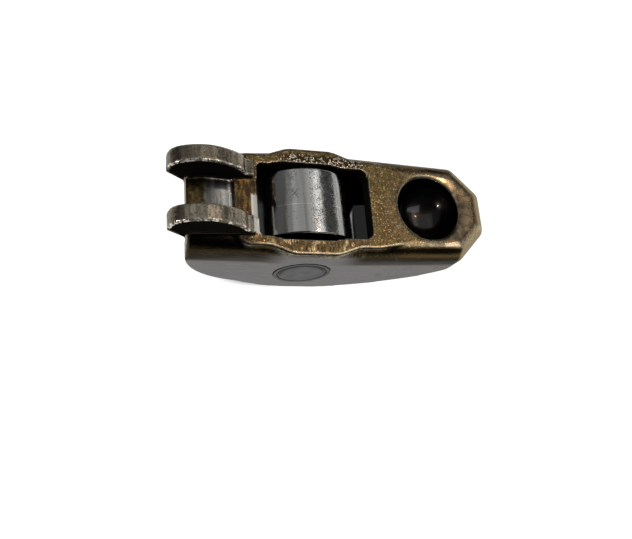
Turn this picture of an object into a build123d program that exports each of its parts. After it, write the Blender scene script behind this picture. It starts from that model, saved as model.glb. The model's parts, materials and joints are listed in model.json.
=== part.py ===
from build123d import *
import os
from math import acos, atan2, degrees, hypot, radians, tan

# Roller finger follower (rocker arm) for an overhead-camshaft engine, in millimetres.
#
# It is drawn level first: +X runs from the valve end to the socket end, +Y across the arm and +Z up,
# with the origin at the middle of the roller's axis. The arm lies with its roller underneath, so the
# web, the ball socket, the valve pad and the two guide ears face up. At the end every piece is turned
# about the roller's axis until the arm stands as it does by itself, on its roller and on the lower
# edges of its side walls.

# ---- driving dimensions ----

# roller, needles and axle pin
ROLLER_R = 8.5
SIDE_GAP = 0.4
ROLLER_EDGE = 0.3
PIN_R = 3.7
NEEDLE_R = 0.8
NEEDLE_SETBACK = 0.2
NEEDLE_END = 0.25
NEEDLE_COUNT = 17
RUNNING_GAP = 0.015

# staked ends of the pin
PIN_FIT_GAP = 0.02
STAKE_R = 4.2
STAKE_DEPTH = 0.6
STAKE_MARGIN = 0.2
GROOVE_R = 3.6
GROOVE_WIDTH = 0.2

# pressed sheet body, seen from above
SHEET = 2.4
WEB_TOP = 8.0
BEND_INNER_R = 0.2
VALVE_BEND_R = 4.4
BEND_EASE_X = 9.0
VALVE_END = 17.6
WAIST_X = 9.0
WAIST_HALF = 7.7
FLAT_X = 4.6
ROLLER_BULGE = 0.38
WALL_BLEND_R = 36.0
CORNER_SHARE = 0.47
STRAIGHT = 0.005
SOCKET_X = 18.0
SOCKET_HALF = 7.5
NOSE_REACH = 9.6
NOSE_HALF = 3.1
NOSE_CORNER_R = 1.5

# lower edge of the side walls, seen from the side
SWEEP_R = 35.0
SWEEP_X = 1.2
SWEEP_DROP = 6.75
HEEL_R = 11.0
TOE_START_X = 18.0
TOE_R = 18.0
NOSE_SKIRT = 4.6

# flat coined land round the roller window
LAND_HALF = 6.88
LAND_EDGE = 0.45
LAND_DEPTH = 3.6
LAND_VALVE_X = 12.6
LAND_WAIST_X = 9.7
LAND_CREST = 3.4
LAND_STEP = 3.2
LAND_STEP_R = 4.0
LAND_SOCKET_X = 9.4
LAND_RUN_OUT = 1.6

# roller window
WINDOW_VALVE_X = 8.0
WINDOW_SOCKET_X = 8.6
WINDOW_EASE = 1.8
WINDOW_CORNER_R = 1.3
LEAD_WIDTH = 0.7
LEAD_DROP = 0.3

# guide ears and valve pad
STEM_SLOT = 5.84
EAR_RISE = 4.3
EAR_CREST_X = 15.5
EAR_TIP_X = 20.25
EAR_END_X = 8.6
EAR_END_RISE = 0.8
EAR_EDGE = 0.12
PAD_CROWN_R = 10.0
PAD_CENTRE_X = 14.4
PAD_HALF = 3.1
PAD_SINK = 0.15

# ball socket
SOCKET_R = 4.9
SOCKET_SINK = 0.4
SOCKET_LIP = 0.3
DOME_WALL = 1.9

# ---- values that follow ----

roller_half = WAIST_HALF + ROLLER_BULGE
roller_width = 2 * (WAIST_HALF - SHEET - SIDE_GAP)
needle_length = roller_width - 2 * NEEDLE_SETBACK
nose_x = SOCKET_X + NOSE_REACH
chamfer_x = nose_x - (SOCKET_HALF - NOSE_HALF)
past_end = VALVE_END + 8
past_side = roller_half + 4
past_below = SWEEP_DROP + 4
web_under = WEB_TOP - SHEET
bend_r = SHEET + BEND_INNER_R
sweep_z = SWEEP_R - SWEEP_DROP
ear_inner = STEM_SLOT / 2
ear_outer = ear_inner + SHEET
pitch_r = PIN_R + RUNNING_GAP + NEEDLE_R
race_r = pitch_r + NEEDLE_R + RUNNING_GAP
hole_r = PIN_R + PIN_FIT_GAP


def eased(points, radii):
    """Corner radii, each limited so that its arc takes under half of the shorter run beside it."""
    (first_x, first_y), (last_x, last_y) = points[0], points[-1]
    line = [Vector(*point) for point in [(first_x, -first_y), *points, (last_x, -last_y)]]
    limited = []
    for radius, before, corner, after in zip(radii, line, line[1:], line[2:]):
        turn = radians((corner - before).get_angle(after - corner))
        reach = CORNER_SHARE * min((corner - before).length, (after - corner).length)
        limited.append(min(radius, reach / tan(turn / 2)) if turn > STRAIGHT else 0)
    return limited


def outline(points, radii):
    """Closed face from the points of its +Y side, mirrored to -Y, with a radius at each corner."""
    whole = points + [(x, -y) for x, y in reversed(points)]
    face = make_face(Polyline(*whole, close=True).edges())
    for (x, y), radius in zip(points, eased(points, radii)):
        corners = [v for v in face.vertices() if hypot(v.X - x, abs(v.Y) - y) < 1e-4]
        if radius and corners:
            face = fillet(corners, radius)
    return face


def raised(face, low, high):
    """A face drawn on XY, raised from one height to another."""
    return extrude(Pos(0, 0, low) * face, high - low, dir=(0, 0, 1))


def across(face, near, far):
    """A face drawn on XY as the side view, stood up and spanning two values of Y."""
    return extrude(Pos(0, near, 0) * Plane.XZ.offset(0).location * face, far - near, dir=(0, 1, 0))


def edges_at(solid, height):
    return [e for e in solid.edges() if abs(e.bounding_box().min.Z - height) < 1e-4]


def body_plan(inset, corner):
    """Side walls and closed nose seen from above, set in from the outer face."""
    nose_shift = inset * (2 ** 0.5 - 1)
    points = [
        (-past_end, WAIST_HALF - inset),
        (-WAIST_X, WAIST_HALF - inset),
        (-FLAT_X, roller_half - inset),
        (FLAT_X, roller_half - inset),
        (chamfer_x - nose_shift, SOCKET_HALF - inset),
        (nose_x - inset, NOSE_HALF - nose_shift),
    ]
    return outline(points, [0, WALL_BLEND_R, WALL_BLEND_R, WALL_BLEND_R, corner, corner])


def side_view():
    """The body from the side: level top, cut valve end, and a sweep that tightens to the nose skirt."""
    sweep = Pos(SWEEP_X, sweep_z) * Circle(SWEEP_R)
    lean = (TOE_START_X - SWEEP_X) / SWEEP_R
    slide = SWEEP_R - TOE_R
    toe = Pos(SWEEP_X + slide * lean, sweep_z - slide * (1 - lean ** 2) ** 0.5) * Circle(TOE_R)
    toe += Pos(TOE_START_X, sweep_z) * Rectangle(
        TOE_START_X + past_end, 2 * SWEEP_R, align=(Align.MAX, Align.CENTER))
    low = sweep_z - SWEEP_R - 1
    box = Pos(-VALVE_END, low) * Rectangle(VALVE_END + nose_x, WEB_TOP - low, align=(Align.MIN, Align.MIN))
    face = sweep & toe & box
    heel = [v for v in face.vertices() if v.X < 1 - VALVE_END and v.Y < WEB_TOP - 1]
    face = fillet(heel, HEEL_R)
    skirt = Pos(nose_x, WEB_TOP) * Rectangle(NOSE_REACH, NOSE_SKIRT, align=(Align.MAX, Align.MAX))
    return face + skirt


def valve_bend():
    """Cutter for the +Y bend, which widens from the sheet's usual bend toward the valve end."""
    growth = (VALVE_BEND_R - bend_r) / (VALVE_END - BEND_EASE_X)
    sections = []
    for x in (-past_end, BEND_INNER_R - BEND_EASE_X):
        radius = bend_r - growth * (x + BEND_EASE_X)
        side, top, over = WAIST_HALF, WEB_TOP, SHEET
        middle = radius * (1 - 0.5 ** 0.5)
        arc = ThreePointArc((side - radius, top), (side - middle, top - middle), (side, top - radius))
        back = Polyline((side, top - radius), (side + over, top - radius), (side + over, top + over),
                        (side - radius, top + over), (side - radius, top))
        sections.append(Pos(x, 0, 0) * Plane.YZ.location * make_face(arc.edges() + back.edges()))
    return loft(sections)


def shell_block():
    """The folded walls and nose as one solid block with the sheet's outer bend along the top."""
    block = raised(body_plan(0, NOSE_CORNER_R), -past_below, WEB_TOP)
    top = [e for e in edges_at(block, WEB_TOP) if e.center().X > 0.5 - past_end]
    return fillet(top, bend_r) - valve_bend() - mirror(valve_bend(), Plane.XZ)


def land_block():
    """The flat land round the window, which runs out to the walls' faces beside the roller."""
    foot = LAND_CREST + LAND_STEP
    points = [
        (-LAND_VALVE_X, WAIST_HALF - bend_r),
        (-LAND_WAIST_X, LAND_HALF),
        (-foot, LAND_HALF),
        (-LAND_CREST, roller_half),
        (LAND_CREST, roller_half),
        (foot, LAND_HALF),
        (LAND_SOCKET_X, LAND_HALF),
        (SOCKET_X + LAND_RUN_OUT, SOCKET_HALF - bend_r),
    ]
    round_r = LAND_STEP_R
    face = outline(points, [0, round_r / 3, round_r, round_r, round_r, round_r, round_r, 0])
    land = raised(face, WEB_TOP - LAND_DEPTH, WEB_TOP)
    return fillet(edges_at(land, WEB_TOP), LAND_EDGE)


def hollow():
    """The space under the web, between the side walls and inside the nose."""
    inner = raised(body_plan(SHEET, NOSE_CORNER_R / 2), -past_below - 1, web_under)
    top = [e for e in edges_at(inner, web_under) if e.center().X > 0.5 - past_end]
    return fillet(top, BEND_INNER_R)


def window():
    """The roller's window, wider beside the roller, with a shallow lead-in along its valve edge."""
    narrow = WAIST_HALF - SHEET
    wide = roller_half - SHEET
    points = [
        (-WINDOW_VALVE_X, narrow),
        (-FLAT_X - WINDOW_EASE, narrow),
        (-FLAT_X, wide),
        (FLAT_X - WINDOW_EASE, wide),
        (FLAT_X, narrow),
        (WINDOW_SOCKET_X, narrow),
    ]
    cut = raised(outline(points, [WINDOW_CORNER_R] * len(points)), 0, WEB_TOP + 1)
    lead = make_face(Polyline(
        (-WINDOW_VALVE_X - LEAD_WIDTH, WEB_TOP),
        (-WINDOW_VALVE_X - LEAD_WIDTH, WEB_TOP + 1),
        (1 - WINDOW_VALVE_X, WEB_TOP + 1),
        (1 - WINDOW_VALVE_X, WEB_TOP - LEAD_DROP),
        (-WINDOW_VALVE_X, WEB_TOP - LEAD_DROP),
        close=True).edges())
    return cut + across(lead, -ear_inner, ear_inner)


def guide_ear():
    """One upstanding ear that keeps the valve stem on the pad, for the +Y side."""
    crest = WEB_TOP + EAR_RISE
    run = EAR_TIP_X - EAR_CREST_X
    back = EAR_CREST_X - EAR_END_X
    upper = Spline(
        (-EAR_TIP_X, WEB_TOP + 0.15 * EAR_RISE),
        (-EAR_CREST_X - 0.58 * run, WEB_TOP + 0.86 * EAR_RISE),
        (-EAR_CREST_X, crest),
        (-EAR_CREST_X + 0.47 * back, WEB_TOP + 0.80 * EAR_RISE),
        (-EAR_CREST_X + 0.79 * back, WEB_TOP + 0.42 * EAR_RISE),
        (-EAR_END_X, WEB_TOP + EAR_END_RISE),
        tangents=[(0, 1), (1, -0.3)],
    )
    lower = Polyline(
        (-EAR_END_X, WEB_TOP + EAR_END_RISE),
        (-EAR_END_X, web_under),
        (-VALVE_END, web_under),
        (-EAR_TIP_X, web_under + 0.45 * (EAR_TIP_X - VALVE_END) + SHEET / 2),
        (-EAR_TIP_X, WEB_TOP + 0.15 * EAR_RISE),
    )
    face = make_face(upper.edges() + lower.edges())
    ear = across(face, ear_inner, ear_outer)
    rim = [e for e in ear.edges() if e.center().Z > web_under + 1 and abs(e.bounding_box().size.Y) < 1e-4]
    rim = [e for e in rim if e.center().X < -EAR_END_X - 0.5]
    return chamfer(rim, EAR_EDGE)


def crowned_pad():
    """The curved face that pushes the valve stem, and the pocket in the web that it rises from."""
    width = 2 * ear_inner
    pocket = Pos(-PAD_CENTRE_X, 0, WEB_TOP) * Box(2 * PAD_HALF, width, SHEET)
    pocket += Pos(-PAD_CENTRE_X - PAD_HALF, 0, WEB_TOP) * Box(2 * PAD_HALF, width, SHEET)
    crown = Pos(-PAD_CENTRE_X, 0, WEB_TOP - PAD_SINK - PAD_CROWN_R) * Rot(90, 0, 0) * Cylinder(PAD_CROWN_R, width)
    keep = Pos((PAD_HALF - PAD_CENTRE_X - VALVE_END) / 2, 0, web_under + SHEET / 2) * Box(
        VALVE_END - PAD_CENTRE_X + PAD_HALF, width, SHEET)
    return pocket, crown & keep


def ball_socket():
    """The pressed dome below the web, and the round seat cut into it."""
    centre = WEB_TOP - SOCKET_SINK
    dome = Pos(SOCKET_X, 0, centre) * Sphere(SOCKET_R + DOME_WALL)
    below = Pos(SOCKET_X, 0, web_under - SOCKET_R) * Box(4 * SOCKET_R, 4 * SOCKET_R, 2 * SOCKET_R + SHEET)
    seat = Pos(SOCKET_X, 0, centre) * Sphere(SOCKET_R)
    mouth = Pos(SOCKET_X, 0, centre + SOCKET_R / 2) * Cylinder(SOCKET_R, SOCKET_R)
    return dome & below, seat + mouth


def turned(points):
    """A solid turned about the Y axis from (radius, y) points of its +Y half, mirrored to -Y."""
    whole = points + [(r, -y) for r, y in reversed(points)]
    return revolve(make_face(Polyline(*whole, close=True).edges()), Axis.Y, 360)


def pin_bore():
    """The bore through both walls, with flared mouths that the pin's ends are staked into."""
    mouth_r = STAKE_R + STAKE_MARGIN
    return turned([
        (0, past_side),
        (mouth_r, past_side),
        (mouth_r, roller_half),
        (hole_r, roller_half - STAKE_DEPTH),
    ])


def arm_body():
    """The pressed steel body."""
    body = shell_block() + land_block()
    body -= hollow()
    pocket, pad = crowned_pad()
    body -= pocket
    body &= across(side_view(), -past_side, past_side)
    dome, seat = ball_socket()
    body = body + dome + pad
    ear = guide_ear()
    body = body + ear + mirror(ear, Plane.XZ)
    body -= window()
    body -= seat
    body -= pin_bore()
    rim = [e for e in edges_at(body, WEB_TOP) if e.geom_type == GeomType.CIRCLE
           and abs(e.radius - SOCKET_R) < 1e-3]
    body = fillet(rim, SOCKET_LIP)
    return body


def axle_pin():
    """The fixed pin, its ends staked outwards into the walls' flared holes."""
    return turned([
        (0, roller_half),
        (GROOVE_R - GROOVE_WIDTH / 2, roller_half),
        (GROOVE_R - GROOVE_WIDTH / 2, roller_half - GROOVE_WIDTH),
        (GROOVE_R + GROOVE_WIDTH / 2, roller_half - GROOVE_WIDTH),
        (GROOVE_R + GROOVE_WIDTH / 2, roller_half),
        (STAKE_R, roller_half),
        (PIN_R, roller_half - STAKE_DEPTH),
    ])


def roller_ring():
    """The hardened outer ring that the cam runs on."""
    ring = Rot(90, 0, 0) * Cylinder(ROLLER_R, roller_width)
    ring = chamfer(ring.edges().filter_by(GeomType.CIRCLE), ROLLER_EDGE)
    ring -= Rot(90, 0, 0) * Cylinder(race_r, 2 * roller_width)
    bore_rims = [e for e in ring.edges().filter_by(GeomType.CIRCLE) if abs(e.radius - race_r) < 1e-3]
    return chamfer(bore_rims, ROLLER_EDGE / 2)


def needle(index):
    """One loose needle of the full complement between pin and ring."""
    turn = 360 / NEEDLE_COUNT * index
    roller = Cylinder(NEEDLE_R, needle_length)
    roller = chamfer(roller.edges().filter_by(GeomType.CIRCLE), NEEDLE_END)
    return Rot(0, turn, 0) * Pos(0, 0, pitch_r) * Rot(90, 0, 0) * roller


def resting_tilt():
    """Angle at which one flat floor touches the roller and the sweep of the wall edges."""
    reach = hypot(SWEEP_X, sweep_z)
    return degrees(acos((SWEEP_R - ROLLER_R) / reach) - atan2(SWEEP_X, sweep_z))


def main():
    os.makedirs("parts", exist_ok=True)
    nodes = {"arm_body": arm_body(), "axle_pin": axle_pin(), "roller_ring": roller_ring()}
    for index in range(NEEDLE_COUNT):
        nodes[f"needle_{index + 1:02d}"] = needle(index)
    tilt = Rot(0, resting_tilt(), 0)
    for name, solid in nodes.items():
        export_step(tilt * solid, f"parts/{name}.step")
    print(f"resting tilt {resting_tilt():.3f} degrees")


main()
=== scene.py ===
"""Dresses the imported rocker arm: worn steel body, staked pin, ground roller, needles and a plain studio."""
import json
import math

import bmesh
import bpy
import numpy as np
from bpy.props import FloatProperty, FloatVectorProperty, IntProperty, PointerProperty
from mathutils import Matrix, Vector


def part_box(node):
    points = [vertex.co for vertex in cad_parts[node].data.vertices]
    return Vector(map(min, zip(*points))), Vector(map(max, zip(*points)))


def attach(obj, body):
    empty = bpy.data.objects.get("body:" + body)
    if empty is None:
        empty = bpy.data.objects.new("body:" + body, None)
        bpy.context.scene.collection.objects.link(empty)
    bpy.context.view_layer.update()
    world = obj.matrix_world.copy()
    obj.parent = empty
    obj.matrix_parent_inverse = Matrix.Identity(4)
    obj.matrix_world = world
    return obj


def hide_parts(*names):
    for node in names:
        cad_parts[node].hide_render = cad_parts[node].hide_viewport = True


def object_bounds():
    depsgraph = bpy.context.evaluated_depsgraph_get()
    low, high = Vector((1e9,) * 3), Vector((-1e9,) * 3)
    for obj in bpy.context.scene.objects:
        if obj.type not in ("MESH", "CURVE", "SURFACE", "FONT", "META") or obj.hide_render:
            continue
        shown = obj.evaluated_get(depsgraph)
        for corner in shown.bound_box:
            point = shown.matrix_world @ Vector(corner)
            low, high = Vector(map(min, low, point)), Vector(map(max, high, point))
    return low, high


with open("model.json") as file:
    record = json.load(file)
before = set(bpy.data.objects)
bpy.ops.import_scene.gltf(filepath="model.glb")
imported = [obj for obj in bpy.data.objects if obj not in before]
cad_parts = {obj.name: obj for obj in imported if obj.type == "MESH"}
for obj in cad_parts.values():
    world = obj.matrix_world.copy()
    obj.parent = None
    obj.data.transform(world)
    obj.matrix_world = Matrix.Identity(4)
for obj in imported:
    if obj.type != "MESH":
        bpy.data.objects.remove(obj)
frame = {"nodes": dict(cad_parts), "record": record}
CAD_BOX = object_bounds()

bl_info = {
    "name": "Rocker Arm Dresser",
    "version": (1, 0, 0),
    "blender": (4, 5, 0),
    "location": "View3D > Sidebar > Rocker Arm",
    "description": "Builds the worn steel look of a roller finger rocker arm around its CAD frame",
    "category": "Object",
}

MM = 0.001
MOUNTS = {mount["name"]: mount for mount in frame["record"]["mounts"]}
WEB_NORMAL = Vector(MOUNTS["ball_socket"]["axis"])
TILT = math.atan2(WEB_NORMAL.x, WEB_NORMAL.z)
TO_LEVEL = Matrix.Rotation(-TILT, 4, "Y")
SOCKET = TO_LEVEL @ Vector(MOUNTS["ball_socket"]["pos_m"]) / MM

# how the web rolls into the ball socket: the seat's radius, how far out and toward which side
SEAT_R = 0.0049
ROLL_REACH = 0.0076
ROLL_SIDE = math.radians(30)
ROLL_LEAST_REACH = 0.25
ROLL_LEAST_DROP = 0.3

# smoothing of the rebuilt body, and how a point's stand above its neighbours becomes wear
EASE_SHARE = 0.5
EASE_ROUNDS = 2
WEAR_SPREAD = 0.6
WEAR_ROUNDS = 3
WEAR_FROM = 0.02
WEAR_RANGE = 0.05

# roller ring, in millimetres, and the needles' node tree
ROLLER_R = 8.5
RING_BORE_R = 5.345
RING_BORE_EDGE = 0.15
EDGE_POINTS = 7
RING_SHARP = math.radians(40)
NEEDLE_SHARP = math.radians(30)
NEEDLE_INPUTS = (("Count", "Int"), ("Facets", "Int"), ("Orbit radius", "Float"), ("Needle radius", "Float"),
                 ("Needle length", "Float"), ("Chamfer", "Float"), ("First turn", "Float"))
MERGE_GAP = 0.000001

# floor, and the rounded patch of it under the part where a shadow is painted, with the glow left there
FLOOR_Z = CAD_BOX[0].z
FLOOR_HALF = 0.30
SHADE_MIDDLE = 0.002
SHADE_HALF_X = 0.0185
SHADE_HALF_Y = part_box("arm_body")[1].y - 0.0005
SHADE_GLOW = 0.018

# metal's tint at its edges, the spots, the sky above and behind, and the camera
EDGE_TINT = (0.6, 0.6, 0.6)
SPOT_SIZE = 0.06
SPOT_DISTANCE = 0.9
SKY = ((0.11, 0.11, 0.11), (0.17, 0.17, 0.172))
SKY_BEHIND = (0.045, 0.045, 0.047)
CAMERA_PLACE = (0.00001, -0.03776, 0.09566)
CAMERA_RIGHT = (0.9970, -0.0779, -0.0022)
CAMERA_UP = (0.0751, 0.9506, 0.3012)
CAMERA_BACK = (-0.0214, -0.3004, 0.9536)


def colour(name, default, description):
    """A linear colour property."""
    return FloatVectorProperty(name=name, description=description, default=default, subtype="COLOR",
                               size=3, min=0, max=1)


def length(name, default, description):
    """A length property in metres."""
    return FloatProperty(name=name, description=description, default=default, subtype="DISTANCE",
                         unit="LENGTH", min=0)


def share(name, default, description):
    """A property from 0 to 1."""
    return FloatProperty(name=name, description=description, default=default, subtype="FACTOR", min=0, max=1)


# ---- settings ----

class BodyLook(bpy.types.PropertyGroup):
    """Sizes and colours of the pressed body."""
    voxel: length("Detail size", 0.0002, "Size of the cells that the worn surface is rebuilt from")
    bronze: colour("Bronze", (0.148, 0.104, 0.041), "Heat tint on the web")
    fleck: colour("Fleck", (0.74, 0.57, 0.30), "Bright flecks in the heat tint")
    wall: colour("Wall steel", (0.186, 0.178, 0.179), "Steel of the side walls")
    ear: colour("Ear steel", (0.29, 0.255, 0.195), "Steel of the guide ears")
    pad: colour("Pad steel", (0.25, 0.24, 0.215), "Polished face of the valve pad")
    lead: colour("Lead-in", (0.80, 0.79, 0.74), "Bright bare steel on the window's lead-in")
    roll: length("Socket roll", 0.00037, "How far the web rolls down into the ball socket")
    seat: colour("Seat", (0.022, 0.018, 0.016), "Oiled, blackened ball seat")


class RollerLook(bpy.types.PropertyGroup):
    """Sizes and colours of the roller, pin and needles."""
    steel: colour("Roller steel", (0.38, 0.38, 0.37), "Ground face of the roller")
    pin: colour("Pin steel", (0.105, 0.105, 0.110), "End faces of the pin")
    edge: length("Roller edge", 0.0003, "Rounding of the roller's edges")
    segments: IntProperty(name="Segments", description="Facets round the roller", default=192, min=24)
    facets: IntProperty(name="Needle facets", description="Facets round each needle", default=24, min=12)
    chamfer: length("Needle chamfer", 0.00025, "Width of the chamfer on a needle's ends")


class StageLook(bpy.types.PropertyGroup):
    """The plain studio."""
    floor: colour("Floor", (0.60, 0.60, 0.60), "Colour of the floor")
    backdrop: share("Backdrop", 0.92, "How much of the floor's look is plain white background")
    lens: FloatProperty(name="Lens", description="Focal length", default=38.93, min=10, unit="CAMERA")


# ---- node helpers ----

class Tree:
    """Short ways to add nodes to one tree."""

    def __init__(self, node_tree):
        self.nodes = node_tree.nodes
        self.links = node_tree.links

    def put(self, socket, value):
        """Links a socket, or sets its value."""
        if isinstance(value, bpy.types.NodeSocket):
            self.links.new(value, socket)
        elif value is not None:
            socket.default_value = value

    def add(self, kind, inputs=(), **settings):
        """Adds a node with its inputs by name and its settings."""
        node = self.nodes.new(kind)
        for name, value in settings.items():
            setattr(node, name, value)
        for name, value in dict(inputs).items():
            self.put(node.inputs[name], value)
        return node

    def maths(self, operation, a, b=None, clamp=False):
        """A Math node on one or two values."""
        node = self.add("ShaderNodeMath", operation=operation, use_clamp=clamp)
        self.put(node.inputs[0], a)
        self.put(node.inputs[1], b)
        return node.outputs[0]

    def times(self, first, *others):
        """Product of two or more values."""
        for other in others:
            first = self.maths("MULTIPLY", first, other)
        return first

    def step(self, value, low, high, to_low=0.0, to_high=1.0):
        """Smooth step of a value between two limits."""
        node = self.add("ShaderNodeMapRange", interpolation_type="SMOOTHSTEP")
        for socket, number in zip(node.inputs[:5], (value, low, high, to_low, to_high)):
            self.put(socket, number)
        return node.outputs[0]

    def blend(self, factor, a, b):
        """Mixes two colours."""
        node = self.add("ShaderNodeMix", data_type="RGBA")
        self.put(node.inputs[0], factor)
        self.put(node.inputs[6], a if isinstance(a, bpy.types.NodeSocket) else (*a, 1))
        self.put(node.inputs[7], b if isinstance(b, bpy.types.NodeSocket) else (*b, 1))
        return node.outputs[2]

    def between(self, factor, a, b):
        """Mixes two numbers."""
        node = self.add("ShaderNodeMix", data_type="FLOAT")
        self.put(node.inputs[0], factor)
        self.put(node.inputs[2], a)
        self.put(node.inputs[3], b)
        return node.outputs[0]

    def noise(self, vector, scale, detail=3.0, rough=0.55):
        """Noise from 0 to 1."""
        return self.add("ShaderNodeTexNoise", {"Vector": vector, "Scale": scale, "Detail": detail,
                                               "Roughness": rough}).outputs["Fac"]

    def cells(self, vector, scale):
        """Voronoi cells, with a colour for each and the distance from its middle."""
        return self.add("ShaderNodeTexVoronoi", {"Vector": vector, "Scale": scale})

    def stretch(self, vector, scale):
        """A place scaled along each axis."""
        return self.add("ShaderNodeMapping", {"Vector": vector, "Scale": scale}).outputs[0]

    def parts(self, vector):
        """X, Y and Z of a vector."""
        return self.add("ShaderNodeSeparateXYZ", {"Vector": vector}).outputs

    def attribute(self, name):
        """A number stored on the mesh."""
        return self.add("ShaderNodeAttribute", attribute_name=name).outputs["Fac"]


def new_material(name):
    """A fully metallic material, its tree and its shader."""
    material = bpy.data.materials.new(name)
    material.use_nodes = True
    tree = Tree(material.node_tree)
    shader = tree.nodes["Principled BSDF"]
    shader.inputs["Metallic"].default_value = 1.0
    shader.inputs["Specular Tint"].default_value = (*EDGE_TINT, 1)
    return material, tree, shader


def level_place(tree):
    """Position on the part in millimetres, turned so that the web is level."""
    place = tree.add("ShaderNodeTexCoord").outputs["Object"]
    node = tree.add("ShaderNodeMapping", {"Vector": place, "Rotation": (0, -TILT, 0)})
    scaled = tree.add("ShaderNodeVectorMath", {"Vector": node.outputs[0]}, operation="SCALE")
    scaled.inputs["Scale"].default_value = 1 / MM
    return scaled.outputs[0]


def level_normal(tree):
    """Surface direction, turned so that the web is level."""
    facing = tree.add("ShaderNodeTexCoord").outputs["Normal"]
    return tree.add("ShaderNodeMapping", {"Vector": facing, "Rotation": (0, -TILT, 0)}).outputs[0]


def bumped(tree, shader, height, strength, distance):
    """Adds relief to a shader; the distance is in metres."""
    node = tree.add("ShaderNodeBump", {"Height": height, "Strength": strength, "Distance": distance})
    tree.links.new(node.outputs[0], shader.inputs["Normal"])


# ---- materials ----

# Colours of heat, wear and dirt, and of painted shade, shadow, highlights and reflections, beside those in
# the settings.
TINTS = {
    "heat_red": (0.16, 0.075, 0.035),
    "heat_gold": (0.24, 0.165, 0.04),
    "scuff": (0.40, 0.36, 0.29),
    "crumb": (0.74, 0.67, 0.56),
    "gold_pore": (0.018, 0.012, 0.007),
    "gold": (0.17, 0.125, 0.058),
    "gold_edge": (0.10, 0.065, 0.045),
    "gold_bright": (0.62, 0.50, 0.28),
    "stain_dark": (0.050, 0.028, 0.018),
    "stain": (0.17, 0.11, 0.038),
    "far_ear_darkening": (0.04, 0.034, 0.026),
    "painted_shade_black": (0.016, 0.014, 0.013),
    "pad_dull": (0.05, 0.05, 0.048),
    "pad_polish": (0.62, 0.60, 0.55),
    "chip": (0.95, 0.93, 0.88),
    "painted_dark_reflection": (0.034, 0.038, 0.044),
    "lip_dark": (0.080, 0.064, 0.045),
    "lip": (0.185, 0.135, 0.082),
    "nose_dark": (0.15, 0.11, 0.06),
    "nose": (0.42, 0.33, 0.20),
    "crest": (0.62, 0.51, 0.33),
    "end_face": (0.045, 0.038, 0.034),
    "near_black_shade": (0.012, 0.010, 0.009),
    "rubbed": (0.40, 0.35, 0.26),
    "painted_glint": (0.98, 0.94, 0.88),
    "inside": (0.020, 0.018, 0.017),
    "nick": (0.12, 0.11, 0.10),
    "scratch": (0.8, 0.79, 0.76),
    "painted_light_band": (0.74, 0.73, 0.70),
    "pit": (0.07, 0.07, 0.065),
    "stake_stain": (0.08, 0.07, 0.065),
    "painted_crescent_shadow": (0.012, 0.012, 0.013),
    "needle_stain": (0.32, 0.30, 0.27),
    "needle": (0.62, 0.62, 0.63),
}

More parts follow.
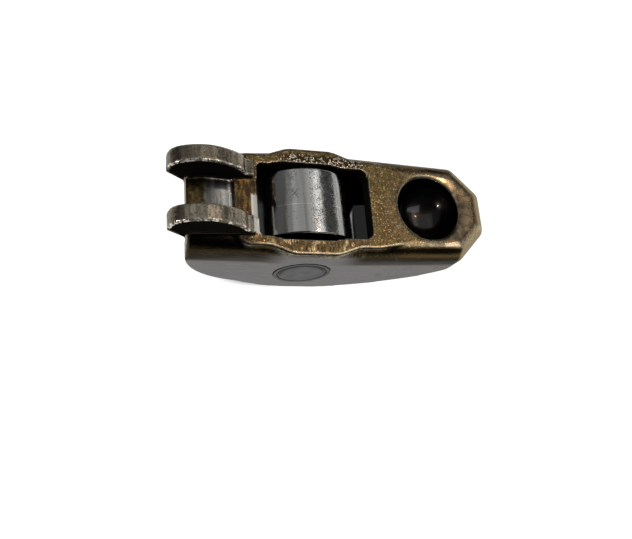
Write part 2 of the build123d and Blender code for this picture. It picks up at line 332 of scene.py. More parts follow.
# Zones of the pressed body. Each is a product of smooth steps, given as a reading of BodyPlace and the
# two limits between which the step goes from 0 to 1, or from and to the two shares that follow them.
# Places are in millimetres in the level pose, and nx, ny, nz and tipped say how a surface faces.
BODY_ZONES = {
    # on the web
    "scuffed": (("x", 10.0, 11.0), ("x", 17.5, 16.0), ("y", -5.5, -4.5), ("y", 1.5, 0.0)),
    "rear_strip": (("out", 5.2, 5.5), ("nz", 0.9, 0.97), ("ragged", 8.0, 7.6), ("x", -6.5, -2.5),
                   ("x", 8.4, 7.4), ("y", -1.0, 1.0)),
    "front_strip": (("out", 5.2, 5.5), ("y", 1.0, -1.0), ("x", -7.5, -4.5), ("x", 8.6, 7.0)),
    "beyond_window": (("x", -7.9, -8.6), ("out", 4.2, 3.4)),
    "lip": (("ring", 7.9, 6.7), ("x", SOCKET.x - 3.5, SOCKET.x + 2.5, 0.25, 0.9)),
    "seat": (("ring", 5.05, 4.92),),
    "lead": (("x", -9.05, -8.85), ("z", 7.3, 7.45), ("x", -7.7, -7.85), ("frayed_y", 1.2, 0.8),
             ("frayed_y", -4.9, -4.7)),
    # on the walls, the bends and the nose
    "wall": (("tipped", 0.80, 0.97), ("z", 7.7, 6.4)),
    "bend": (("tipped", 0.30, 0.58), ("z", 4.0, 5.6), ("nz", -0.05, 0.1), ("nx", 0.45, 0.25)),
    # painted highlight: a light band on the near edge where the web turns into the wall, dimmer by the socket
    "crest": (("ny", -0.07, -0.16), ("ny", -0.50, -0.30), ("z", 6.6, 7.1), ("x", -9.0, -7.0),
              ("cloudy_x", 24.0, 21.0, 0.45, 1.0), ("hue", 0.38, 0.52, 0.55, 1.0)),
    "crest_by_socket": (("x", 11.0, 13.5), ("x", 21.0, 19.0)),
    # painted sheen: the nose's faces that turn toward +x are made a lighter golden brown
    "nose": (("nx", 0.05, 0.30), ("x", 21.0, 24.0), ("z", 3.5, 6.5, 0.15, 1.0)),
    # painted shade: inner faces below the web and the undersides, made near-black
    "inside_walls": (("z", 7.80, 7.55), ("x", -10.0, -9.0), ("out", 5.9, 5.7), ("x", 22.6, 22.2)),
    "painted_shade_underside": (("nz", -0.2, -0.4), ("out", 6.6, 6.0)),
    # at the valve end
    "pad": (("frayed_x", -10.9, -11.2), ("out", 2.75, 2.5), ("z", 8.3, 8.1)),
    # painted dark reflection on the pad's far side
    "pad_painted_reflection": (("y", 0.9, 1.3), ("x", -14.2, -13.7), ("x", -11.7, -12.3)),
    "end_face": (("nx", -0.40, -0.70), ("x", -13.0, -14.0), ("z", 8.6, 8.2)),
    # painted shade on the web beside and under the ears, left of the window
    "painted_shade_by_ears": (("x", -8.6, -9.8), ("out", 3.3, 3.7), ("z", 6.6, 7.0)),
    # painted shadow at the feet of the ears
    "painted_ear_shadow": (("x", -9.6, -10.4), ("z", 9.0, 8.6), ("z", 7.6, 7.8), ("out", 3.8, 3.5),
                 ("out", 2.45, 2.7), ("nz", 0.99, 0.95)),
    "ear_flank": (("tipped", 0.55, 0.85),),
    # painted glints: bright specks on the near top edges of the ears
    "painted_ear_glints": (("grain", 0.32, 0.40), ("hue", 0.40, 0.50), ("worn", 0.15, 0.5), ("z", 8.6, 9.0),
                   ("ny", -0.10, -0.30)),
}


def shaded(colour_value, strength):
    """A colour made darker or lighter."""
    return [channel * strength for channel in colour_value]


class BodyPlace:
    """What the body's finishes read: place, direction, wear and noise, with the web turned level."""

    def __init__(self, tree):
        self.tree = tree
        self.place = level_place(tree)
        self.x, self.y, self.z = tree.parts(self.place)
        self.nx, self.ny, self.nz = tree.parts(level_normal(tree))
        self.out = tree.maths("ABSOLUTE", self.y)
        self.tipped = tree.maths("ABSOLUTE", self.ny)
        self.worn = tree.attribute("worn")
        self.hue = tree.noise(self.place, 0.9, 2.0)
        self.cloud = tree.noise(self.place, 1.6, 4.0)
        self.fine = tree.noise(self.place, 5.5, 3.0, 0.7)
        self.sharp = tree.noise(self.place, 11.0, 2.0, 0.6)
        grains = tree.cells(self.place, 3.9)
        self.grain = tree.parts(grains.outputs["Color"])[0]
        self.grain_gap = grains.outputs["Distance"]
        self.ragged = self.frayed(self.out, 1.6)
        self.cloudy_x = self.frayed(self.x, 1.0)
        self.frayed_x = self.frayed(self.x, 0.5)
        self.frayed_y = self.frayed(self.y, 0.8)
        gap = tree.add("ShaderNodeVectorMath", operation="DISTANCE")
        tree.put(gap.inputs[0], self.place)
        gap.inputs[1].default_value = SOCKET
        self.ring = gap.outputs["Value"]

    def frayed(self, reading, width):
        """A reading that wanders with the cloudy noise, for an uneven edge."""
        return self.tree.maths("ADD", reading, self.tree.times(self.cloud, width))

    def streaks(self, scale, detail, rough=0.55):
        """Noise drawn out along one way of the part."""
        return self.tree.noise(self.tree.stretch(self.place, scale), 1.0, detail, rough)

    def zone(self, name):
        """The mask of one of the body's zones."""
        return self.tree.times(*(self.tree.step(getattr(self, reading), *limits)
                                 for reading, *limits in BODY_ZONES[name]))


def web_finish(at, look):
    """Bronze heat tint with flecks, crumbs and gold on the coined strips, and a stain by the pad."""
    tree, bronze = at.tree, look.bronze
    web = tree.blend(tree.step(at.cloud, 0.34, 0.66), shaded(bronze, 0.58), shaded(bronze, 1.25))
    web = tree.blend(tree.step(at.hue, 0.56, 0.70, 0, 0.55), web, TINTS["heat_red"])
    web = tree.blend(tree.step(at.hue, 0.44, 0.32, 0, 0.5), web, TINTS["heat_gold"])
    fleck = tree.times(tree.step(at.grain, 0.64, 0.76), tree.step(at.grain_gap, 0.52, 0.25), 0.9)
    speck = tree.step(at.fine, 0.53, 0.66, 0, 0.5)
    web = tree.blend(tree.maths("MAXIMUM", fleck, speck), web, look.fleck)
    web = tree.blend(tree.step(at.sharp, 0.52, 0.42, 0, 0.95), web, shaded(bronze, 0.22))
    scuff = tree.step(at.streaks((1.0, 2.6, 1.0), 3.0, 0.6), 0.58, 0.66, 0, 0.45)
    web = tree.blend(tree.times(scuff, at.zone("scuffed")), web, TINTS["scuff"])

    crumb = tree.times(tree.step(at.grain, 0.44, 0.50), tree.step(at.grain_gap, 0.58, 0.42))
    web = tree.blend(at.zone("rear_strip"), web, tree.blend(crumb, shaded(bronze, 0.30), TINTS["crumb"]))

    brushed = at.streaks((3.4, 0.45, 1.0), 3.0, 0.65)
    gold = tree.blend(tree.step(brushed, 0.36, 0.64), TINTS["gold_pore"], TINTS["gold"])
    gold = tree.blend(tree.step(at.ragged, 7.1, 6.7, 0, 0.7), gold, TINTS["gold_edge"])
    polished = tree.times(tree.step(at.hue, 0.50, 0.62), tree.step(brushed, 0.40, 0.55))
    gold = tree.blend(polished, gold, TINTS["gold_bright"])
    web = tree.blend(tree.times(at.zone("front_strip"), 0.85), web, gold)

    patch = tree.step(at.streaks((2.2, 0.5, 1.0), 2.0), 0.44, 0.60)
    stain = tree.blend(patch, TINTS["stain_dark"], TINTS["stain"])
    web = tree.blend(tree.times(at.zone("beyond_window"), 0.9), web, stain)

    lip = tree.blend(tree.step(at.hue, 0.40, 0.60), TINTS["lip_dark"], TINTS["lip"])
    return tree.blend(at.zone("lip"), web, lip)


def wall_finish(at, look, streak):
    """Grey steel with lengthwise streaks, browner toward the nose, with painted shade darkening it toward the
    bend.
    """
    tree, steel, bronze = at.tree, look.wall, look.bronze
    wall = tree.blend(tree.step(streak, 0.3, 0.72), shaded(steel, 0.84), shaded(steel, 1.12))
    bend_foot = tree.step(at.x, -7.0, -10.0, 3.3, 2.9)

    def above(rise):
        return tree.maths("ADD", bend_foot, rise)

    # painted shade darkens the wall's top toward the bend; toward the nose the lower wall takes a browner
    # tint
    tint = tree.maths("ADD", tree.step(at.z, bend_foot, above(1.3)), tree.step(at.x, 8.0, 24.0, 0, 0.14))
    by_roller = tree.step(tree.maths("ABSOLUTE", at.x), 3.0, 8.0, 0.10, 0.95)
    tint = tree.maths("MULTIPLY", tint, by_roller, clamp=True)
    bend_shade_and_heat_tint = tree.blend(tree.step(at.z, above(0.3), above(1.4)), shaded(bronze, 0.5), shaded(bronze, 0.10))
    wall = tree.blend(tint, wall, bend_shade_and_heat_tint)
    scratch = tree.step(at.streaks((0.5, 1.0, 9.0), 2.0, 0.7), 0.56, 0.66, 0, 0.45)
    wall = tree.blend(scratch, wall, shaded(steel, 0.35))
    dent = tree.times(tree.step(tree.noise(at.place, 1.1, 2.0), 0.62, 0.70), tree.step(at.x, 9.0, 12.0))
    return tree.blend(tree.times(dent, 0.6), wall, shaded(steel, 0.3))


def ear_finish(at, look, flank):
    """Pewter with upright streaks, and flanks painted near-black as shade."""
    tree, steel = at.tree, look.ear
    streak = at.streaks((1.5, 0.12, 0.25), 3.0)
    ear = tree.blend(tree.step(streak, 0.36, 0.64), shaded(steel, 0.62), shaded(steel, 1.35))
    ear = tree.blend(tree.step(tree.noise(at.place, 3.2, 3.0), 0.50, 0.36), ear, shaded(steel, 0.42))
    # the far ear is made darker than the near one
    ear = tree.blend(tree.step(at.y, -1.0, 1.0, 0.0, 0.30), ear, TINTS["far_ear_darkening"])
    # painted shade: the ears' flanks are made near-black
    return tree.blend(flank, ear, TINTS["painted_shade_black"])


def pad_finish(at, look):
    """Steel polished by the stem on its inner part, mottled brown toward its free end."""
    tree, steel, bronze = at.tree, look.pad, look.bronze
    pad = tree.blend(tree.step(at.streaks((1.8, 0.14, 1.0), 3.0), 0.34, 0.66),
                     shaded(steel, 0.50), shaded(steel, 1.25))
    along = at.frayed(at.x, 1.2)
    pad = tree.blend(tree.step(along, -12.7, -11.9), tree.blend(0.33, pad, TINTS["pad_dull"]),
                     tree.blend(0.55, pad, TINTS["pad_polish"]))
    mottle = tree.blend(tree.step(at.cloud, 0.38, 0.60), shaded(bronze, 0.28), shaded(bronze, 0.80))
    pad = tree.blend(tree.step(along, -14.2, -15.0), pad, mottle)
    near_window = tree.step(tree.maths("ADD", along, tree.times(at.y, 0.25)), -12.0, -10.6)
    chip = tree.times(tree.step(at.grain, 0.58, 0.66), tree.step(at.grain_gap, 0.45, 0.25), near_window)
    pad = tree.blend(chip, pad, TINTS["chip"])
    # painted dark reflection on the pad's far side
    return tree.blend(tree.times(at.zone("pad_painted_reflection"), 0.85), pad, TINTS["painted_dark_reflection"])


def body_steel(look):
    """Heat-tinted web, grey walls, pewter ears, polished pad and blackened seat on one pressing."""
    material, tree, shader = new_material("body_steel")
    at = BodyPlace(tree)
    streak = at.streaks((0.22, 1.0, 3.2), 4.0)
    on_wall, on_bend, on_pad = at.zone("wall"), at.zone("bend"), at.zone("pad")
    on_lead, on_seat, ear_shadow = at.zone("lead"), at.zone("seat"), at.zone("painted_ear_shadow")
    end_face, facing_side = at.zone("end_face"), at.zone("ear_flank")
    on_ear = tree.maths("MAXIMUM", tree.step(at.z, 8.05, 8.5), tree.step(at.x, -17.1, -17.4))
    inside = tree.maths("MAXIMUM", at.zone("inside_walls"), at.zone("painted_shade_underside"))

    # from the broad finishes to the small ones that lie over them
    # painted dark reflection: the bend is made dark brown to near black, lighter toward the socket end
    painted_dark_bend = tree.blend(tree.step(at.x, 10.0, 15.0), shaded(look.bronze, 0.12), shaded(look.bronze, 0.45))
    shade = tree.blend(tree.times(on_bend, 0.9), web_finish(at, look), painted_dark_bend)
    shade = tree.blend(on_wall, shade, wall_finish(at, look, streak))
    # painted sheen on the nose
    nose = tree.blend(at.cloud, TINTS["nose_dark"], TINTS["nose"])
    shade = tree.blend(tree.times(at.zone("nose"), 0.85), shade, nose)
    # painted highlight along the near edge of the web
    crest = tree.times(at.zone("crest"), tree.between(at.zone("crest_by_socket"), 1.0, 0.30))
    shade = tree.blend(crest, shade, TINTS["crest"])
    shade = tree.blend(end_face, shade, TINTS["end_face"])
    # painted shade beside and under the ears
    shade = tree.blend(tree.times(at.zone("painted_shade_by_ears"), 0.88), shade, TINTS["near_black_shade"])
    shade = tree.blend(on_ear, shade, ear_finish(at, look, facing_side))
    # painted shadow at the ears' feet, near-black
    shade = tree.blend(ear_shadow, shade, TINTS["painted_shade_black"])
    shade = tree.blend(on_pad, shade, pad_finish(at, look))
    kept = tree.maths("SUBTRACT", 1.0, tree.maths("MAXIMUM", end_face, tree.times(on_wall, 0.8)))
    rubbed = tree.times(at.worn, tree.step(at.cloud, 0.32, 0.62, 0.2, 0.8), kept)
    shade = tree.blend(rubbed, shade, TINTS["rubbed"])
    # painted glints on the ears' near top edges
    shade = tree.blend(at.zone("painted_ear_glints"), shade, TINTS["painted_glint"])
    # painted shade: inner faces and undersides are made near-black
    shade = tree.blend(inside, shade, TINTS["inside"])
    shade = tree.blend(on_lead, shade, look.lead)
    shade = tree.blend(on_seat, shade, look.seat)
    tree.put(shader.inputs["Base Color"], shade)

    # where shade is painted, the metal's reflections are dulled as well
    painted_shade_zones = tree.maths("MAXIMUM", ear_shadow, inside)
    dull = tree.maths("MAXIMUM", tree.times(on_ear, facing_side), painted_shade_zones, clamp=True)
    tree.put(shader.inputs["Specular Tint"], tree.blend(dull, EDGE_TINT, (0.0, 0.0, 0.0)))
    tree.put(shader.inputs["Coat Weight"], tree.times(on_seat, 0.55))
    shader.inputs["Coat Roughness"].default_value = 0.07

    rough = tree.between(tree.step(at.cloud, 0.3, 0.7), 0.20, 0.32)
    for mask, value in ((on_bend, 0.20), (dull, 0.8), (on_wall, tree.between(streak, 0.28, 0.44)),
                        (on_pad, 0.22), (on_lead, 0.45), (on_seat, 0.28)):
        rough = tree.between(mask, rough, value)
    tree.put(shader.inputs["Roughness"], rough)

    pits = tree.times(at.fine, tree.between(at.zone("rear_strip"), 0.7, 1.6))
    pits = tree.maths("ADD", pits, tree.times(at.cloud, 0.5))
    calm = on_seat
    for mask, strength in ((on_pad, 0.7), (on_wall, 0.8), (at.zone("lip"), 0.85)):
        calm = tree.maths("MAXIMUM", calm, tree.times(mask, strength))
    pits = tree.times(pits, tree.maths("SUBTRACT", 1.0, calm))
    bumped(tree, shader, pits, 0.5, 0.00010)
    return material


def round_place(tree):
    """Arc length on the roller's face, distance along its axis and distance from it, in millimetres."""
    x, y, z = tree.parts(tree.add("ShaderNodeTexCoord").outputs["Object"])
    arc = tree.times(tree.maths("ARCTAN2", x, z), ROLLER_R)
    along = tree.times(y, 1 / MM)
    squares = tree.maths("ADD", tree.times(x, x), tree.times(z, z))
    out = tree.times(tree.maths("SQRT", squares), 1 / MM)
    return arc, along, out


def roller_steel(look):
    """Ground roller with fine lines round it, a rubbed mid-line, painted reflection streaks, a painted light
    band, pitted zones and nicks.
    """
    material, tree, shader = new_material("roller_steel")
    arc, along, out = round_place(tree)
    place = tree.add("ShaderNodeCombineXYZ", {"X": arc, "Y": along, "Z": out}).outputs[0]
    lines = tree.noise(tree.stretch(place, (0.08, 14.0, 1.0)), 1.0, 3.0, 0.6)
    painted_reflection_streaks = tree.noise(tree.stretch(place, (1.1, 0.06, 1.0)), 1.0, 3.0, 0.6)
    grain = tree.noise(tree.stretch(place, (7.5, 6.5, 1.0)), 1.0, 2.0, 0.6)
    cloud = tree.noise(place, 0.9, 4.0)
    nicks = tree.cells(place, 2.6)
    nick = tree.times(tree.step(tree.parts(nicks.outputs["Color"])[0], 0.74, 0.9),
                      tree.step(nicks.outputs["Distance"], 0.34, 0.14))
    wave = tree.times(tree.noise(tree.stretch(place, (0.5, 0.0, 0.0)), 1.0), 0.5)
    off_line = tree.maths("ABSOLUTE", tree.maths("ADD", along, tree.maths("ADD", wave, 0.35)))
    scratch = tree.times(tree.step(off_line, 0.07, 0.02), tree.step(cloud, 0.36, 0.5, 0.15, 0.6))

    # the loaded side, and a smaller zone on the half beyond the mid-line
    loaded = tree.times(tree.step(arc, 1.5, 2.4), tree.step(arc, 6.6, 5.4))
    second = tree.times(tree.step(arc, -1.4, -0.8), tree.step(arc, 0.7, 0.1), tree.step(along, -0.5, 1.0))
    crinkled = tree.maths("MAXIMUM", loaded, second)
    # painted highlight: a lighter band on the roller's face
    painted_light_band = tree.times(tree.step(arc, 1.3, 2.2), tree.step(arc, 4.4, 3.2), 0.6)
    pit = tree.times(tree.step(grain, 0.50, 0.43), crinkled, tree.step(cloud, 0.38, 0.52, 0.3, 0.85))

    shade = tree.blend(tree.step(lines, 0.3, 0.7), shaded(look.steel, 0.93), shaded(look.steel, 1.05))
    shade = tree.blend(tree.times(nick, 0.65), shade, TINTS["nick"])
    shade = tree.blend(scratch, shade, TINTS["scratch"])
    # painted reflection: darker streaks across the roller's face, each constant along its axis
    shade = tree.blend(tree.step(painted_reflection_streaks, 0.60, 0.38, 0, 0.55), shade, shaded(look.steel, 0.50))
    shade = tree.blend(painted_light_band, shade, TINTS["painted_light_band"])
    tree.put(shader.inputs["Base Color"], tree.blend(pit, shade, TINTS["pit"]))
    tree.put(shader.inputs["Roughness"], tree.between(tree.step(cloud, 0.3, 0.7), 0.09, 0.16))

    grain = tree.times(grain, tree.step(cloud, 0.40, 0.60, 0.6, 1.6), tree.between(crinkled, 0.12, 1.1))
    height = tree.maths("ADD", tree.times(lines, 0.08), grain)
    bumped(tree, shader, tree.maths("SUBTRACT", height, nick), 0.35, 0.00003)
    return material


def pin_steel(look):
    """Dull end faces with turning marks, a painted shadow crescent on their upper half and a stained stake
    ring.
    """
    material, tree, shader = new_material("pin_steel")
    _, _, out = round_place(tree)
    place = tree.add("ShaderNodeTexCoord").outputs["Object"]
    cloud = tree.noise(place, 600.0, 4.0)
    rings = tree.noise(tree.add("ShaderNodeCombineXYZ", {"X": out}).outputs[0], 5.0, 2.0)
    # painted shadow: a dark ring on the upper half of each end face only
    upper = tree.step(tree.times(tree.parts(place)[2], 1 / MM), -1.0, 1.5)
    painted_crescent_shadow = tree.times(tree.step(out, 2.98, 3.06), tree.step(out, 3.46, 3.38), upper)
    shade = tree.blend(tree.step(cloud, 0.35, 0.65), shaded(look.pin, 0.82), shaded(look.pin, 1.15))
    shade = tree.blend(tree.step(out, 3.78, 3.95, 0, 0.6), shade, TINTS["stake_stain"])
    shade = tree.blend(painted_crescent_shadow, shade, TINTS["painted_crescent_shadow"])
    tree.put(shader.inputs["Base Color"], shade)
    tree.put(shader.inputs["Roughness"], tree.between(rings, 0.30, 0.46))
    bumped(tree, shader, rings, 0.2, 0.00003)
    return material


def needle_steel():
    """Bright ground needles with a film of oil staining."""
    material, tree, shader = new_material("needle_steel")
    place = tree.add("ShaderNodeTexCoord").outputs["Object"]
    stain = tree.noise(place, 900.0, 3.0)
    tree.put(shader.inputs["Base Color"], tree.blend(stain, TINTS["needle_stain"], TINTS["needle"]))
    tree.put(shader.inputs["Roughness"], tree.between(stain, 0.14, 0.3))
    return material


def floor_paper(look):
    """Plain pale floor: white to the camera and in reflections; it keeps the part's shadow, and a shadow is
    painted on the patch under the part.
    """
    material = bpy.data.materials.new("floor_paper")
    material.use_nodes = True
    tree = Tree(material.node_tree)
    tree.nodes.remove(tree.nodes["Principled BSDF"])
    x, y, _ = tree.parts(tree.add("ShaderNodeTexCoord").outputs["Object"])
    from_middle = tree.maths("SUBTRACT", x, SHADE_MIDDLE)
    along = tree.maths("ABSOLUTE", tree.maths("DIVIDE", from_middle, SHADE_HALF_X))
    over = tree.maths("ABSOLUTE", tree.maths("DIVIDE", y, SHADE_HALF_Y))
    rounded = tree.maths("ADD", tree.maths("POWER", along, 3.0), tree.maths("POWER", over, 3.0))
    # painted shadow: the patch under the part is darkened toward black and keeps only a faint white glow
    painted_shadow_patch = tree.step(rounded, 1.0, 0.5)
    paper = tree.blend(tree.times(painted_shadow_patch, 0.95), look.floor[:], (0.0, 0.0, 0.0))
    matt = tree.add("ShaderNodeBsdfDiffuse", {"Color": paper})
    path = tree.add("ShaderNodeLightPath")
    seen = tree.maths("MAXIMUM", path.outputs["Is Camera Ray"], path.outputs["Is Glossy Ray"])
    seen = tree.maths("MAXIMUM", seen, path.outputs["Is Transmission Ray"])
    glow = tree.between(painted_shadow_patch, look.backdrop, SHADE_GLOW)
    plain = tree.add("ShaderNodeEmission", {"Color": (1, 1, 1, 1), "Strength": tree.times(seen, glow)})
    both = tree.add("ShaderNodeAddShader")
    tree.links.new(matt.outputs[0], both.inputs[0])
    tree.links.new(plain.outputs[0], both.inputs[1])
    tree.links.new(both.outputs[0], tree.nodes["Material Output"].inputs["Surface"])
    return material


# ---- meshes ----

def new_object(name, mesh, material):
    """An object in the scene with one material."""
    mesh.materials.clear()
    mesh.materials.append(material)
    obj = bpy.data.objects.new(name, mesh)
    bpy.context.scene.collection.objects.link(obj)
    return obj


def baked(obj):
    """Plain mesh of an object with its modifiers applied."""
    graph = bpy.context.evaluated_depsgraph_get()
    graph.update()
    return bpy.data.meshes.new_from_object(obj.evaluated_get(graph))


def merged_copy(node):
    """Closed copy of a CAD node's mesh."""
    mesh = frame["nodes"][node].data.copy()
    work = bmesh.new()
    work.from_mesh(mesh)
    bmesh.ops.remove_doubles(work, verts=work.verts, dist=MERGE_GAP)
    work.to_mesh(mesh)
    work.free()
    return mesh


def softened(mesh, voxel):
    """The mesh rebuilt in even cells in the level pose, with its edges eased as by tumbling and wear."""
    mesh.transform(TO_LEVEL)
    rough = new_object("body_rough", mesh, None)
    rebuild = rough.modifiers.new("rebuild", "REMESH")
    rebuild.mode = "VOXEL"
    rebuild.voxel_size = voxel
    ease = rough.modifiers.new("ease", "SMOOTH")
    ease.factor = EASE_SHARE
    ease.iterations = EASE_ROUNDS
    result = baked(rough)
    bpy.data.objects.remove(rough)
    result.transform(TO_LEVEL.inverted())
    return result


def roll_rim(mesh, drop):
    """Lets the web roll down into the ball socket, most on its outer side, as pressing leaves it."""
    to_part = TO_LEVEL.inverted()
    centre = to_part @ (SOCKET * MM)
    leaning = to_part.to_3x3() @ Vector((math.cos(ROLL_SIDE), math.sin(ROLL_SIDE), 0))
    for point in mesh.vertices:
        gap = point.co - centre
        height = gap.dot(WEB_NORMAL)
        radius = (gap - height * WEB_NORMAL).length
        if 0 < height and 0 < radius < ROLL_REACH:
            lean = 0.5 + 0.5 * gap.dot(leaning) / radius
            reach = SEAT_R + (ROLL_REACH - SEAT_R) * (ROLL_LEAST_REACH + (1 - ROLL_LEAST_REACH) * lean)
            inward = 1 - min(max(radius - SEAT_R, 0) / (reach - SEAT_R), 1)
            sink = drop * (ROLL_LEAST_DROP + (1 - ROLL_LEAST_DROP) * lean) * inward ** 2
            point.co -= WEB_NORMAL * min(sink, height)
    return mesh


def mark_wear(mesh):
    """Stores how sharply each point stands out, for the rubbed edges."""
    count = len(mesh.vertices)
    place = np.empty(count * 3)
    mesh.vertices.foreach_get("co", place)
    place = place.reshape(-1, 3)
    facing = np.empty(count * 3)
    mesh.vertices.foreach_get("normal", facing)
    facing = facing.reshape(-1, 3)
    ends = np.empty(len(mesh.edges) * 2, int)
    mesh.edges.foreach_get("vertices", ends)
    a, b = ends.reshape(-1, 2).T
    degree = np.bincount(np.r_[a, b], minlength=count).clip(1)

    def around(values):
        total = np.bincount(a, values[b], count) + np.bincount(b, values[a], count)
        return total / degree

    mean = np.stack([around(place[:, k]) for k in range(3)], 1)
    stand = -((mean - place) * facing).sum(1) / np.abs(place[a] - place[b]).sum(1).mean()
    for _ in range(WEAR_ROUNDS):
        stand = (1 - WEAR_SPREAD) * stand + WEAR_SPREAD * around(stand)
    worn = np.clip((stand - WEAR_FROM) / WEAR_RANGE, 0, 1)
    mesh.attributes.new("worn", "FLOAT", "POINT").data.foreach_set("value", worn.astype(np.float32))


def spun(name, profile, segments, material):
    """A closed ring turned about the Y axis from (radius, y) points in millimetres."""
    work = bmesh.new()
    rows = []
    turns = [2 * math.pi * k / segments for k in range(segments)]
    for radius, along in profile:
        rows.append([work.verts.new((radius * MM * math.sin(turn), along * MM, radius * MM * math.cos(turn)))
                     for turn in turns])
    for one, two in zip(rows, rows[1:] + rows[:1]):
        for k in range(segments):
            after = (k + 1) % segments
            work.faces.new((one[k], one[after], two[after], two[k]))
    bmesh.ops.recalc_face_normals(work, faces=work.faces)
    mesh = bpy.data.meshes.new(name)
    work.to_mesh(mesh)
    work.free()
    mesh.shade_smooth()
    mesh.set_sharp_from_angle(angle=RING_SHARP)
    return new_object(name, mesh, material)


def needle_tree(material):
    """Node tree of a full complement: chamfered needles side by side round a circle about the Y axis."""
    group = bpy.data.node_groups.new("needle_complement", "GeometryNodeTree")
    group.interface.new_socket(name="Geometry", in_out="OUTPUT", socket_type="NodeSocketGeometry")
    for name, kind in NEEDLE_INPUTS:
        group.interface.new_socket(name=name, in_out="INPUT", socket_type="NodeSocket" + kind)
    tree = Tree(group)
    given = tree.add("NodeGroupInput").outputs
    thick, long, cut = given["Needle radius"], given["Needle length"], given["Chamfer"]
    needle = tree.add("GeometryNodeMeshCylinder", {"Vertices": given["Facets"], "Side Segments": 3,
                                                   "Radius": thick, "Depth": long}).outputs["Mesh"]
    place = tree.add("GeometryNodeInputPosition").outputs[0]
    height = tree.maths("ABSOLUTE", tree.parts(place)[2])
    at_end = tree.maths("GREATER_THAN", height, tree.times(long, 0.4))
    narrow = tree.maths("DIVIDE", tree.maths("SUBTRACT", thick, cut), thick)
    end_scale = tree.add("ShaderNodeCombineXYZ", {"X": narrow, "Y": narrow, "Z": 1.0}).outputs[0]
    spread = tree.maths("SUBTRACT", 3.0, tree.maths("DIVIDE", tree.times(cut, 6.0), long))
    side_scale = tree.add("ShaderNodeCombineXYZ", {"X": 1.0, "Y": 1.0, "Z": spread}).outputs[0]
    scale = tree.add("GeometryNodeSwitch", {"Switch": at_end, "False": side_scale, "True": end_scale},
                     input_type="VECTOR").outputs[0]
    shaped = tree.add("ShaderNodeVectorMath", operation="MULTIPLY")
    tree.put(shaped.inputs[0], place)
    tree.put(shaped.inputs[1], scale)
    needle = tree.add("GeometryNodeSetPosition", {"Geometry": needle,
                                                  "Position": shaped.outputs[0]}).outputs[0]
    ring = tree.add("GeometryNodeMeshCircle", {"Vertices": given["Count"],
                                               "Radius": given["Orbit radius"]}).outputs[0]
    start = tree.add("ShaderNodeCombineXYZ", {"Z": given["First turn"]}).outputs[0]
    start = tree.add("FunctionNodeEulerToRotation", {"Euler": start}).outputs[0]
    ring = tree.add("GeometryNodeTransform", {"Geometry": ring, "Rotation": start}).outputs[0]
    standing = tree.add("GeometryNodeInstanceOnPoints", {"Points": ring, "Instance": needle}).outputs[0]
    laid = tree.add("GeometryNodeTransform", {"Geometry": standing,
                                              "Rotation": (-math.pi / 2, 0, 0)}).outputs[0]
    real = tree.add("GeometryNodeRealizeInstances", {"Geometry": laid}).outputs[0]
    painted = tree.add("GeometryNodeSetMaterial", {"Geometry": real, "Material": material}).outputs[0]
    tree.add("NodeGroupOutput", {"Geometry": painted})
    return group


def arc_points(centre, radius, start, end, count):
    """Points on an arc in the (radius, y) plane, in millimetres and degrees."""
    turns = [math.radians(start + (end - start) * k / (count - 1)) for k in range(count)]
    return [(centre[0] + radius * math.cos(t), centre[1] + radius * math.sin(t)) for t in turns]


# ---- operators ----

class ROCKER_OT_body(bpy.types.Operator):
    """Build the worn pressed body"""
    bl_idname = "rocker.body"
    bl_label = "Pressed body"

    def execute(self, context):
        look = context.scene.rocker_body
        mesh = roll_rim(softened(merged_copy("arm_body"), look.voxel), look.roll)
        mark_wear(mesh)
        mesh.shade_smooth()
        body = new_object("pressed_body", mesh, body_steel(look))
        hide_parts("arm_body")
        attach(body, "arm")
        return {"FINISHED"}


class ROCKER_OT_pin(bpy.types.Operator):
    """Give the axle pin its steel finish"""
    bl_idname = "rocker.pin"
    bl_label = "Axle pin"

    def execute(self, context):
        pin = frame["nodes"]["axle_pin"]
        pin.data.materials.clear()
        pin.data.materials.append(pin_steel(context.scene.rocker_roller))
        return {"FINISHED"}


class ROCKER_OT_roller(bpy.types.Operator):
    """Build the ground roller ring"""
    bl_idname = "rocker.roller"
    bl_label = "Roller ring"

    def execute(self, context):
        look = context.scene.rocker_roller
        _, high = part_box("roller_ring")
        outer, half = high.x / MM, high.y / MM
        edge = look.edge / MM
        bore, bore_edge, bore_half = RING_BORE_R, RING_BORE_R + RING_BORE_EDGE, half - RING_BORE_EDGE
        profile = arc_points((outer - edge, half - edge), edge, 0, 90, EDGE_POINTS)
        profile += [(bore_edge, half), (bore, bore_half), (bore, -bore_half), (bore_edge, -half)]
        profile += arc_points((outer - edge, edge - half), edge, -90, 0, EDGE_POINTS)
        ring = spun("ground_roller", profile, look.segments, roller_steel(look))
        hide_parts("roller_ring")
        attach(ring, "roller")
        return {"FINISHED"}


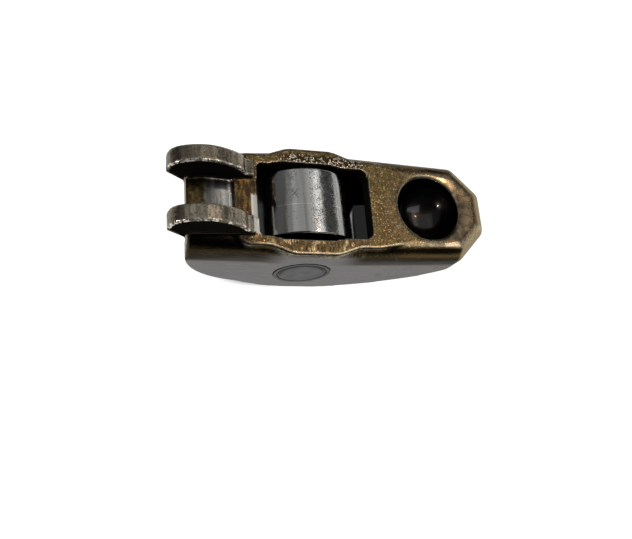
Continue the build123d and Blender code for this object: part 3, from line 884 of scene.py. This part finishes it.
class ROCKER_OT_needles(bpy.types.Operator):
    """Build the full complement of needles"""
    bl_idname = "rocker.needles"
    bl_label = "Needles"

    def execute(self, context):
        look = context.scene.rocker_roller
        names = [name for name in frame["nodes"] if name.startswith("needle_")]
        low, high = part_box("needle_01")
        middle, size = (low + high) / 2, high - low
        sizes = {"Count": len(names), "Facets": look.facets, "Orbit radius": math.hypot(middle.x, middle.z),
                 "Needle radius": size.x / 2, "Needle length": size.y, "Chamfer": look.chamfer,
                 "First turn": math.atan2(middle.x, middle.z) - math.pi / 2}
        material = needle_steel()
        maker = new_object("needle_maker", bpy.data.meshes.new("needle_maker"), material)
        grow = maker.modifiers.new("needles", "NODES")
        grow.node_group = needle_tree(material)
        for socket in grow.node_group.interface.items_tree:
            if socket.name in sizes:
                grow[socket.identifier] = sizes[socket.name]
        mesh = baked(maker)
        bpy.data.objects.remove(maker)
        mesh.shade_smooth()
        mesh.set_sharp_from_angle(angle=NEEDLE_SHARP)
        needles = new_object("needle_complement", mesh, material)
        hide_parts(*names)
        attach(needles, "needle_set")
        return {"FINISHED"}


def area_lamp(name, size, radiance):
    """A soft rectangular lamp with an even brightness, where 1 shows as white in a mirror."""
    lamp = bpy.data.lights.new(name, "AREA")
    lamp.shape = "RECTANGLE"
    lamp.size, lamp.size_y = size
    lamp.energy = radiance * math.pi * size[0] * size[1]
    obj = bpy.data.objects.new(name, lamp)
    bpy.context.scene.collection.objects.link(obj)
    return obj


def panel(name, across, along, height, radiance):
    """A level lamp above the part, given by its limits in X and Y."""
    obj = area_lamp(name, (across[1] - across[0], along[1] - along[0]), radiance)
    obj.location = (sum(across) / 2, sum(along) / 2, height)


def spot(name, toward, tint, radiance):
    """A small bright lamp that gives a point of light in the ball socket."""
    obj = area_lamp(name, (SPOT_SIZE, SPOT_SIZE), radiance)
    obj.data.color = tint
    obj.location = toward.normalized() * SPOT_DISTANCE
    obj.rotation_euler = toward.to_track_quat("Z", "Y").to_euler()


class ROCKER_OT_stage(bpy.types.Operator):
    """Build the floor, lamps and camera"""
    bl_idname = "rocker.stage"
    bl_label = "Studio"

    def execute(self, context):
        scene = context.scene
        look = scene.rocker_stage
        mesh = bpy.data.meshes.new("floor")
        corners = ((-1, -1), (1, -1), (1, 1), (-1, 1))
        mesh.from_pydata([(x * FLOOR_HALF, y * FLOOR_HALF, FLOOR_Z) for x, y in corners], [], [(0, 1, 2, 3)])
        new_object("floor", mesh, floor_paper(look))

        world = bpy.data.worlds.new("studio")
        world.use_nodes = True
        scene.world = world
        tree = Tree(world.node_tree)
        _, depth, height = tree.parts(tree.add("ShaderNodeTexCoord").outputs["Generated"])
        sky = tree.blend(tree.step(height, 0.1, 0.9), *SKY)
        sky = tree.blend(tree.step(depth, -0.05, -0.45), sky, SKY_BEHIND)
        tree.put(tree.nodes["Background"].inputs["Color"], sky)

        panel("overhead", (-0.27, 1.10), (-0.05, 1.00), 0.80, 0.38)
        panel("middle_strip", (-0.13, 0.02), (0.12, 1.00), 0.79, 0.14)
        panel("bright", (0.60, 1.00), (-0.28, 0.90), 0.79, 0.75)
        skirting = area_lamp("right_low", (0.060, 0.9), 1.0)
        skirting.location = (0.60, 0.20, 0.024)
        skirting.rotation_euler = (0, math.radians(90), 0)
        panel("edge_strip", (0.36, 2.40), (-0.55, -0.12), 0.78, 1.5)
        spot("warm_spot", Vector((0.62, 0.09, 0.78)), (1.0, 0.62, 0.36), 55)
        spot("white_spot", Vector((-0.70, -0.38, 0.62)), (1.0, 1.0, 0.92), 105)

        camera = bpy.data.objects.new("camera", bpy.data.cameras.new("camera"))
        camera.data.lens = look.lens
        camera.data.clip_start, camera.data.clip_end = 0.005, 10
        turn = Matrix((CAMERA_RIGHT, CAMERA_UP, CAMERA_BACK)).transposed()
        camera.matrix_world = Matrix.Translation(CAMERA_PLACE) @ turn.to_4x4()
        scene.collection.objects.link(camera)
        scene.camera = camera
        scene.view_settings.view_transform = "Standard"
        return {"FINISHED"}


class ROCKER_PT_panel(bpy.types.Panel):
    """Rocker arm tools"""
    bl_idname = "ROCKER_PT_panel"
    bl_label = "Rocker Arm"
    bl_space_type = "VIEW_3D"
    bl_region_type = "UI"
    bl_category = "Rocker Arm"

    def draw(self, context):
        for owner in LOOKS:
            look = getattr(context.scene, owner)
            for name in look.__annotations__:
                self.layout.prop(look, name)
        for tool in OPERATORS:
            self.layout.operator(tool.bl_idname)


LOOKS = {"rocker_body": BodyLook, "rocker_roller": RollerLook, "rocker_stage": StageLook}
OPERATORS = (ROCKER_OT_body, ROCKER_OT_pin, ROCKER_OT_roller, ROCKER_OT_needles, ROCKER_OT_stage)
CLASSES = (*LOOKS.values(), *OPERATORS, ROCKER_PT_panel)


def register():
    """Registers the classes and gives each scene its settings."""
    for item in CLASSES:
        bpy.utils.register_class(item)
    for name, group in LOOKS.items():
        setattr(bpy.types.Scene, name, PointerProperty(type=group))


def unregister():
    """Removes the settings and the classes."""
    for name in LOOKS:
        delattr(bpy.types.Scene, name)
    for item in reversed(CLASSES):
        bpy.utils.unregister_class(item)


def main():
    """Builds the whole scene."""
    register()
    bpy.ops.rocker.stage()
    bpy.ops.rocker.body()
    bpy.ops.rocker.pin()
    bpy.ops.rocker.roller()
    bpy.ops.rocker.needles()
    bpy.context.view_layer.update()


if __name__ == "__main__":
    main()
